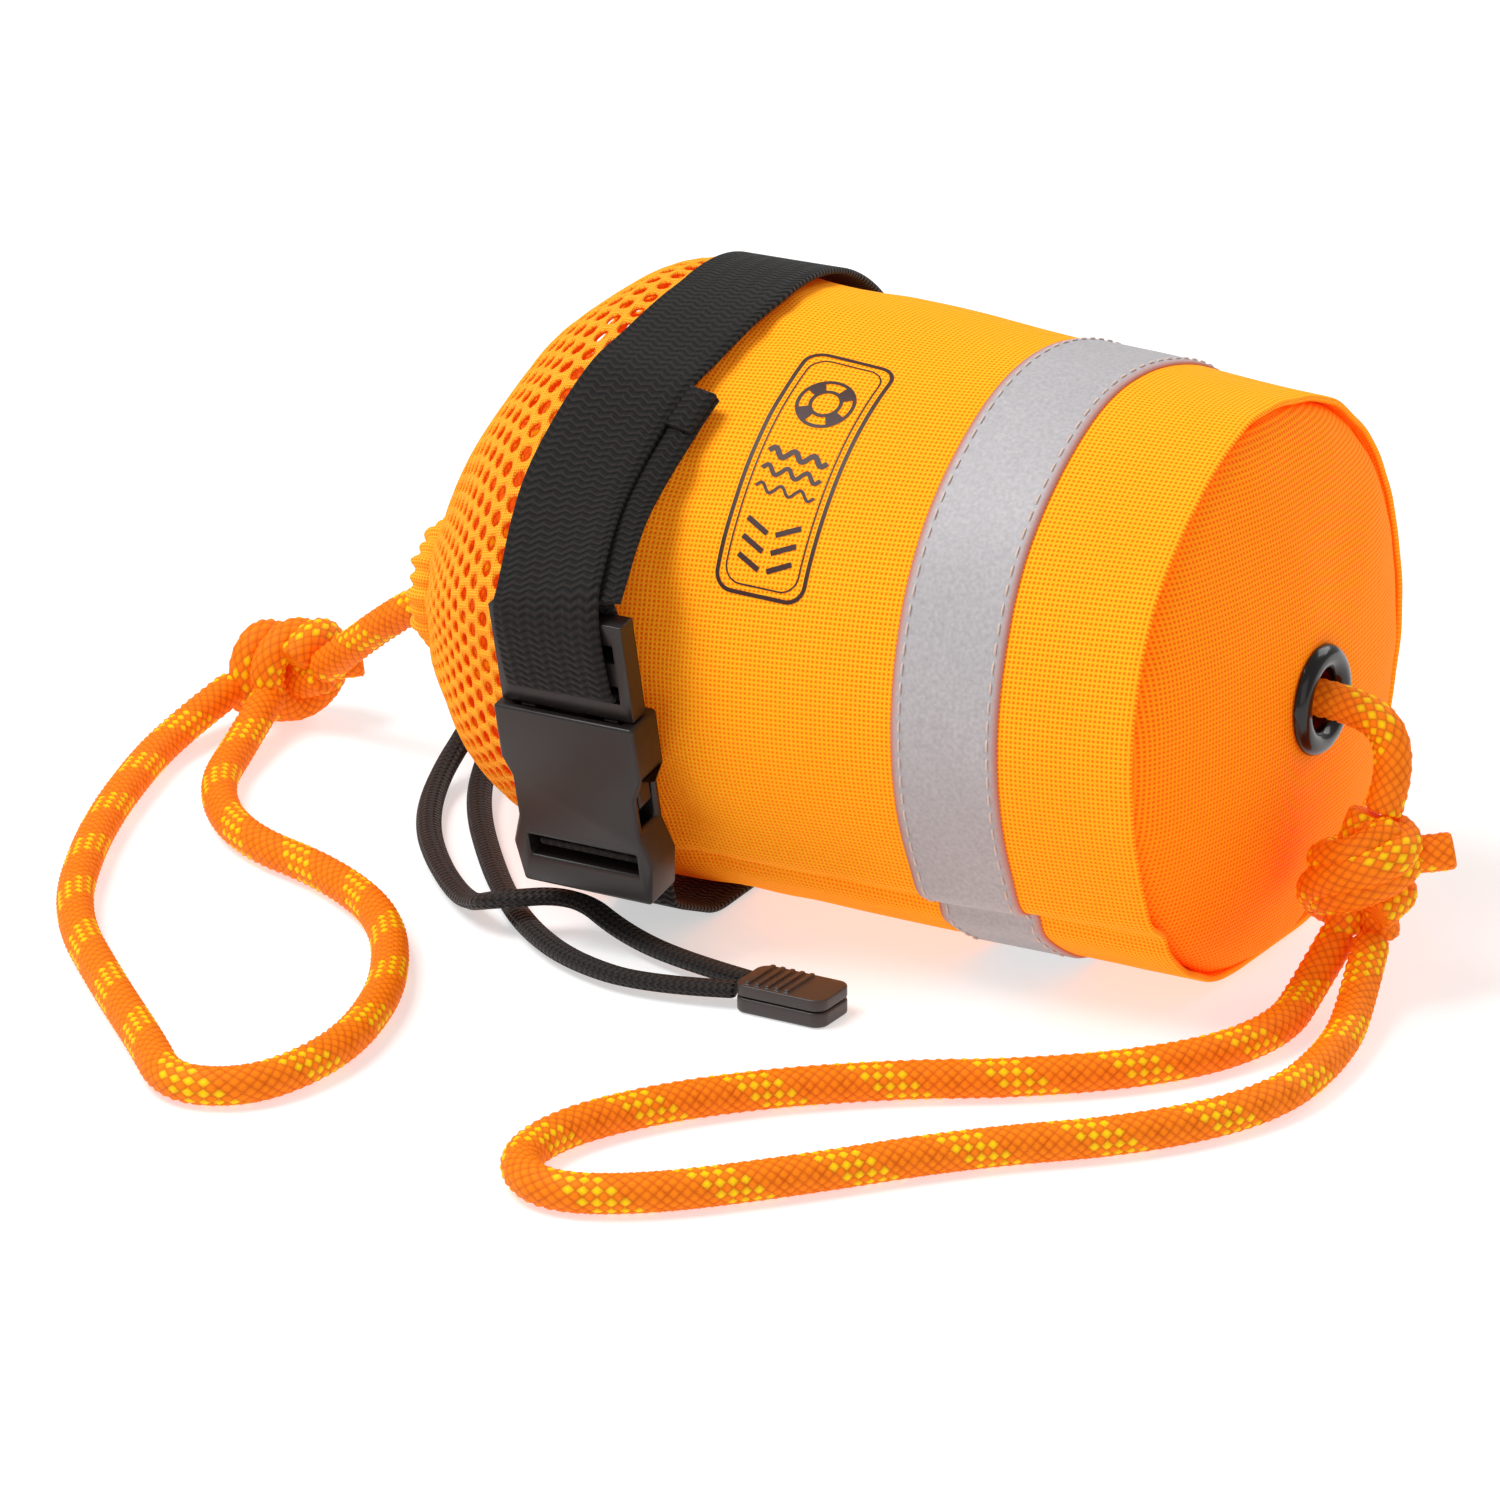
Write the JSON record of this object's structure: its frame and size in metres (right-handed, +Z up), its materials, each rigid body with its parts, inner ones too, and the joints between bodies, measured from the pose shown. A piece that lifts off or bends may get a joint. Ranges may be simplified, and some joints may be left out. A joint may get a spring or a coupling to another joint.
{
  "type": "throw rope bag",
  "caption": "Cylindrical fabric throw bag of floating rescue rope with mesh mouth, belt strap with side-release buckle, reflective band and a knotted hand loop at each end.",
  "frame": {"origin": "on the floor under the middle of the bag's length, where the reflective band's flat underside stands", "axes": "+X along the bag towards its base and grommet, +Z up, so -Y faces the buckle's side"},
  "size_m": [0.3289, 0.2643, 0.1368],
  "materials": {
    "orange_fabric": "woven polyester, satin",
    "orange_mesh": "knitted polyester mesh",
    "reflective_tape": "glass-bead retroreflective fabric",
    "black_webbing": "ribbed polypropylene",
    "black_acetal": "moulded satin",
    "black_brass": "glossy black plated",
    "rope": "braided polypropylene with yellow tracer",
    "black_cord": "flat braid",
    "brown_nylon": "moulded satin",
    "foam": "closed-cell foam",
    "seam_tape": "woven binding",
    "spring_steel": "bright wire"
  },
  "bodies": {
    "root": {"body_panel": "orange_fabric", "base_panel": "orange_fabric", "seam_tape": "seam_tape", "foam_disc": "foam", "grommet_flange": "black_brass", "grommet_washer": "black_brass", "reflective_band": "reflective_tape", "mesh_collar": "orange_mesh", "mouth_hem": "orange_fabric", "drawcord_ring": "black_cord", "packed_rope": "rope", "inner_rope": "rope", "strap_upper": "black_webbing", "strap_tail": "black_webbing", "strap_lower": "black_webbing", "strap_tack": "black_webbing", "buckle_female": "black_acetal", "base_rope_tail": "rope", "base_knot": "rope", "base_hand_loop": "rope", "mouth_rope_tail": "rope", "mouth_knot": "rope", "mouth_hand_loop": "rope", "lock_barrel": "black_acetal", "lock_spring": "spring_steel", "drawcord_neck": "black_cord", "drawcord_strand_a": "black_cord", "drawcord_strand_b": "black_cord", "cord_end_base": "brown_nylon"},
    "male": {"buckle_male": "black_acetal", "strap_male_loop": "black_webbing"},
    "prong_left_body": {"prong_left": "black_acetal"},
    "prong_right_body": {"prong_right": "black_acetal"},
    "plunger": {"lock_plunger": "black_acetal"},
    "end_lid": {"cord_end_lid": "brown_nylon"}
  },
  "joints": [
    {"name": "buckle_release", "type": "slide", "parent": "root", "child": "male", "axis": [0, -0.2079, 0.9781], "range_m": [0, 0.028], "deforming": ["strap_upper", "strap_tail", "prong_left", "prong_right"]},
    {"name": "prong_left_flex", "type": "hinge", "parent": "male", "child": "prong_left_body", "pos_m": [-0.0559, -0.07669, 0.05882], "axis": [0, 0.9781, 0.2079], "range_deg": [0, 7], "stiffness_Nm_per_rad": 0.5},
    {"name": "prong_right_flex", "type": "hinge", "parent": "male", "child": "prong_right_body", "pos_m": [-0.0351, -0.07669, 0.05882], "axis": [0, -0.9781, -0.2079], "range_deg": [0, 7], "stiffness_Nm_per_rad": 0.5},
    {"name": "lock_press", "type": "slide", "parent": "root", "child": "plunger", "axis": [0, -1, 0], "range_m": [0, 0.004], "stiffness_N_per_m": 800, "deforming": ["lock_spring"]},
    {"name": "cord_end_hinge", "type": "hinge", "parent": "root", "child": "end_lid", "pos_m": [0.0192, -0.0769, 0.0036], "axis": [0, 1, 0], "range_deg": [0, 100]}
  ],
  "couplings": [
    {"joint": "prong_right_flex", "follows": "prong_left_flex", "ratio": 1}
  ]
}
